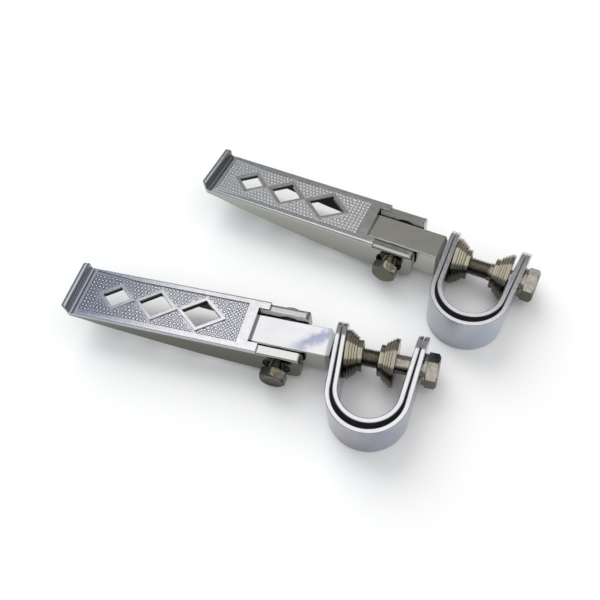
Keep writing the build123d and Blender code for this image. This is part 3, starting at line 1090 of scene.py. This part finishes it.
@dataclass
class ThreadedBolt:
    """Hexagon bolt with a real screw thread, in place of a bolt with a plain shank.

    Its place is in millimetres on the peg's axes. The axis starts under the head and runs
    toward the tip.
    """

    node: str
    body: str
    axes: PegAxes
    size: BoltSize
    direction: np.ndarray
    around: int = 60
    rows_per_turn: int = 8
    head_rows: int = 10

    def cross_axes(self) -> tuple[np.ndarray, np.ndarray]:
        """Two directions across the bolt, which turn right-handed about its own."""
        return UP, np.cross(self.direction, UP)

    def start(self) -> np.ndarray:
        """Middle of the head's underside, read off the solid bolt.

        Returns:
            The point.
        """
        reach = self.axes.to_peg(node_points(self.node)) @ self.direction
        height = self.axes.bolt_height / MM
        return (reach.min() + self.size.head_height) * self.direction + height * UP

    def corner_angle(self) -> float:
        """Angle of one corner of the solid bolt's hexagon, so that the head keeps its turn.

        Returns:
            The angle, in radians.
        """
        points = self.axes.to_peg(node_points(self.node)) - self.start()
        across = points @ np.stack(self.cross_axes(), -1)
        far = across[np.argmax(np.hypot(*across.T))]
        return math.atan2(far[1], far[0])

    def head_profile(self) -> tuple[np.ndarray, np.ndarray]:
        """Work out the turned limit on the head's radius.

        The limit rises along the crown's cone to the corners, stays there, and turns in
        under the head.

        Returns:
            Places along the axis and the limit at each.
        """
        size = self.size
        corner = size.flats / math.sqrt(3.0)
        rim = size.flats / 2 - size.rim_inset
        crown = (corner - rim) * math.tan(math.radians(size.crown_slope))
        rise = np.linspace(0.0, 1.0, self.head_rows)
        dish = -size.head_height + size.dish_depth
        place = np.concatenate([
            [dish, dish, -size.head_height], -size.head_height + crown * rise, size.underside,
        ])
        limit = np.concatenate([
            rim * np.array(size.dish_shares),
            rim + (corner - rim) * rise,
            [corner],
            size.flats / 2 + np.array(size.underside_spare),
        ])
        return place, limit

    def shank_radius(self, place: np.ndarray, angle: np.ndarray) -> np.ndarray:
        """Radius of the shank: the crest's, less the groove, tapered at the tip.

        The groove is a triangle wave of distance / pitch - angle / full turn. It deepens
        along a smooth step where the thread starts.

        Args:
            place: Distances from under the head.
            angle: Angles round the bolt.

        Returns:
            Array of places by angles.
        """
        size = self.size
        phase = place[:, None] / size.pitch - angle[None, :] / (2 * np.pi)
        triangle = 1.0 - np.abs(2.0 * (phase % 1.0) - 1.0)
        groove = np.clip(size.groove_gain * triangle - size.groove_land, 0.0, 1.0)
        run = size.run_in + size.run_in_turns * size.pitch
        share = np.clip((place - size.smooth_length + size.run_in) / run, 0.0, 1.0)
        deepening = (share * share * (3.0 - 2.0 * share))[:, None]
        depth = size.groove_share * size.pitch * groove * deepening
        tip = size.tip_share * size.diameter
        taper = np.clip((place - (size.length - tip)) / tip, 0.0, 1.0)
        limit = size.diameter / 2 - tip * taper
        return np.minimum(size.diameter / 2 - depth, limit[:, None])

    def build(self) -> bpy.types.Object:
        """Work out the skin ring by ring and put it in place of the solid bolt.

        The head's radius is flats / 2 over the cosine of the angle from the nearest flat,
        and its profile's limit holds it down.

        Returns:
            The bolt, riding on its body.
        """
        size = self.size
        angle = 2 * np.pi * np.arange(self.around) / self.around
        head_place, limit = self.head_profile()
        threaded = size.length - size.smooth_length
        rows = math.ceil(threaded / size.pitch * self.rows_per_turn) + 1
        shank_place = np.concatenate([
            [0.0, size.smooth_length - size.plain_gap],
            np.linspace(size.smooth_length, size.length, rows),
        ])
        along = np.concatenate([head_place, shank_place])
        from_flat = (angle + math.pi / 6) % (math.pi / 3) - math.pi / 6
        head = np.minimum(size.flats / 2 / np.cos(from_flat), limit[:, None])
        radius = np.concatenate([head, self.shank_radius(shank_place, angle)])
        first, second = self.cross_axes()
        turned = angle + self.corner_angle() - math.pi / 6
        spoke = np.cos(turned)[:, None] * first + np.sin(turned)[:, None] * second
        local = self.start() + along[:, None, None] * self.direction + radius[..., None] * spoke
        piece = turned_surface(f"{self.node}_threaded", self.axes.to_row(local))
        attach(piece, self.body)
        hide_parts(self.node)
        return piece


@dataclass
class FootPeg:
    """One peg: its axes, the pieces added to its solids, and the finish of each piece."""

    side: Side
    finishes: PegFinishes
    clamp_size: BoltSize = BoltSize(10.0, 60.0, 16.0, head_height=6.2, smooth_length=19.0)
    pivot_size: BoltSize = BoltSize(8.0, 35.0, 13.0, head_height=5.3, smooth_length=0.6)
    axes: PegAxes = field(init=False)

    def __post_init__(self) -> None:
        """Read the peg's axes from its joints."""
        self.axes = PegAxes.from_joints(self.side)

    def named(self, piece: str) -> str:
        """Name of one of this peg's pieces."""
        return f"{self.side.value}_{piece}"

    def dress(self, piece: bpy.types.Object, material: Material) -> None:
        """Give a piece its finish and report it.

        Args:
            piece: The piece.
            material: Its finish.
        """
        piece.data.materials.clear()
        piece.data.materials.append(material)
        log.info("%s finished in %s", piece.name, material.name)

    def build(self) -> None:
        """Add the pebbles and the threaded bolts, and finish every piece."""
        kinds = {
            "bright_casting": (self.finishes.casting, ["tread_plate"]),
            "pebble_casting": (self.finishes.pebbles, []),
            "shaded_washers": (self.finishes.washers, ["pivot_washers"]),
            "plated_bar": (self.finishes.bar, ["mount_bar"]),
            "plated_strap": (self.finishes.strap, ["outer_strap", "inner_strap"]),
            "black_rubber": (self.finishes.rubber, ["rubber_liner"]),
            "steel_fastener": (self.finishes.fastener, ["clamp_bolt", "lock_washer"]),
            "browned_pivot_bolt": (self.finishes.pivot_bolt, ["pivot_bolt"]),
            "turned_steel": (self.finishes.cones, ["seated_cone", "loose_cone"]),
        }
        made = {}
        for kind, (finish, parts) in kinds.items():
            made[kind] = finish.material(self.named(kind), self.axes)
            for part in parts:
                self.dress(frame["nodes"][self.named(part)], made[kind])
        self.dress(TreadPebbles(self.side, self.axes).build(), made["pebble_casting"])
        tread = self.named("tread")
        for part, body, size, toward_tip, kind in (
            ("clamp_bolt", "clamps", self.clamp_size, (-1.0, 0.0, 0.0), "steel_fastener"),
            ("pivot_bolt", tread, self.pivot_size, (0.0, 1.0, 0.0), "browned_pivot_bolt"),
        ):
            bolt = ThreadedBolt(self.named(part), body, self.axes, size, np.array(toward_tip))
            self.dress(bolt.build(), made[kind])


@dataclass
class Studio:
    """Pale floor, a soft sky with one wide bright panel, a key lamp and the camera.

    The panel's edges are places on a ceiling one unit up, each from its outer end to its
    inner one. The camera's target is in millimetres from the front peg's origin, and its
    angles are in degrees.
    """

    axes: PegAxes
    floor_size: float = 6.0
    floor_colour: Colour = (0.778, 0.775, 0.768)
    floor_lift: float = 0.05
    panel_level: float = 1.42
    panel_left: Span = (-0.62, -0.46)
    panel_right: Span = (1.5, 0.9)
    panel_near: Span = (-1.4, -0.9)
    panel_far: Span = (0.68, 0.60)
    lowest_height: float = 0.02
    left_colour: Colour = (0.36, 0.42, 0.52)
    back_colour: Colour = (0.37, 0.36, 0.35)
    room_turn: Span = (-0.5, -0.24)
    key_strength: float = 1.88
    key_spread: float = 50.0
    key_place: Triple = (-0.60, 0.75, 0.95)
    target: Triple = (-2.2, 33.98, 0.0)
    azimuth: float = -23.84
    elevation: float = 57.67
    roll: float = -9.67
    distance: float = 372.53
    focal_pixels: float = 644.5
    image_pixels: float = 600.0
    sensor: float = 36.0
    near_limit: float = 0.01

    def floor(self) -> None:
        """Lay a plain pale floor that the camera sees a little brighter than its colour."""
        half = self.floor_size / 2
        corners = np.array([
            [-half, -half, 0.0], [half, -half, 0.0], [half, half, 0.0], [-half, half, 0.0]
        ])
        ground = surface_object("floor", corners, [[0, 1, 2, 3]])
        material = bpy.data.materials.new("pale_floor")
        material.use_nodes = True
        material.node_tree.nodes.clear()
        bench = NodeBench(material.node_tree)
        path = bench.node("ShaderNodeLightPath")
        seen = path["Is Camera Ray"]
        for other in ("Is Glossy Ray", "Is Transmission Ray"):
            seen = bench.maths("MAXIMUM", seen, path[other])
        lift = bench.product(seen, self.floor_lift)
        matt = bench.node("ShaderNodeBsdfDiffuse", {"Color": self.floor_colour})["BSDF"]
        glow = bench.node("ShaderNodeEmission", {"Strength": lift})["Emission"]
        both = bench.node("ShaderNodeAddShader", {"Shader": matt, "Shader_001": glow})
        bench.node("ShaderNodeOutputMaterial", {"Surface": both["Shader"]})
        ground.data.materials.append(material)

    def panel(self, bench: NodeBench, direction: Sequence[Socket]) -> Socket:
        """Mask of the panel on the ratios x / z and y / z of a direction.

        Those are the places where a level ceiling would be hit.

        Args:
            bench: Bench of the world.
            direction: The direction's X, Y and Z.

        Returns:
            Socket of the mask.
        """
        x, y, z = direction
        height = bench.maths("MAXIMUM", z, self.lowest_height)
        east = bench.maths("DIVIDE", x, height)
        north = bench.maths("DIVIDE", y, height)
        return bench.product(
            bench.rise(east, self.panel_left), bench.rise(north, self.panel_far),
            bench.rise(east, self.panel_right), bench.rise(north, self.panel_near),
        )

    def sky(self) -> None:
        """Light the room: a wide bright panel overhead with soft sides, and a dimmer room."""
        world = bpy.data.worlds.new("studio")
        bpy.context.scene.world = world
        world.use_nodes = True
        world.node_tree.nodes.clear()
        bench = NodeBench(world.node_tree)
        toward = bench.parts(bench.node("ShaderNodeTexCoord")["Generated"])
        turned = bench.rise(toward[0], self.room_turn)
        room = bench.blend(turned, self.left_colour, self.back_colour)
        lit = bench.blend(self.panel(bench, toward), room, (self.panel_level,) * 3)
        background = bench.node("ShaderNodeBackground", {"Color": lit})["Background"]
        bench.node("ShaderNodeOutputWorld", {"Surface": background})

    def key(self) -> None:
        """Shine a wide soft light from behind and to the left of the pair."""
        lamp = bpy.data.lights.new("key", "SUN")
        lamp.angle = math.radians(self.key_spread)
        lamp.energy = self.key_strength
        holder = bpy.data.objects.new("key", lamp)
        bpy.context.scene.collection.objects.link(holder)
        place = Vector(self.key_place)
        holder.rotation_euler = (-place).to_track_quat("-Z", "Y").to_euler()
        holder.location = place
        holder.visible_glossy = False

    def camera(self) -> None:
        """Set the camera at the photograph's angle, from its turn, tilt, roll and distance."""
        az, el, roll = (math.radians(v) for v in (self.azimuth, self.elevation, self.roll))
        lens = bpy.data.cameras.new("camera")
        lens.sensor_width = self.sensor
        lens.lens = self.focal_pixels / self.image_pixels * self.sensor
        lens.clip_start = self.near_limit
        holder = bpy.data.objects.new("camera", lens)
        bpy.context.scene.collection.objects.link(holder)
        holder.matrix_world = (
            Matrix.Translation(self.axes.origin + MM * np.array(self.target))
            @ Matrix.Rotation(-az, 4, "Z")
            @ Matrix.Rotation(math.pi / 2 - el, 4, "X")
            @ Matrix.Rotation(roll, 4, "Z")
            @ Matrix.Translation((0.0, 0.0, MM * self.distance))
        )
        bpy.context.scene.camera = holder

    def build(self) -> None:
        """Put up the floor, the light and the camera."""
        self.floor()
        self.sky()
        self.key()
        self.camera()
        bpy.context.scene.view_settings.view_transform = "Standard"


def main() -> None:
    """Build both pegs and the studio."""
    logging.basicConfig(level=logging.INFO, format="%(name)s: %(message)s")
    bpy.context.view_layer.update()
    pegs = [FootPeg(Side.FRONT, FRONT_FINISHES), FootPeg(Side.BACK, BACK_FINISHES)]
    for peg in pegs:
        peg.build()
    Studio(pegs[0].axes).build()
    bpy.context.view_layer.update()


if __name__ == "__main__":
    main()
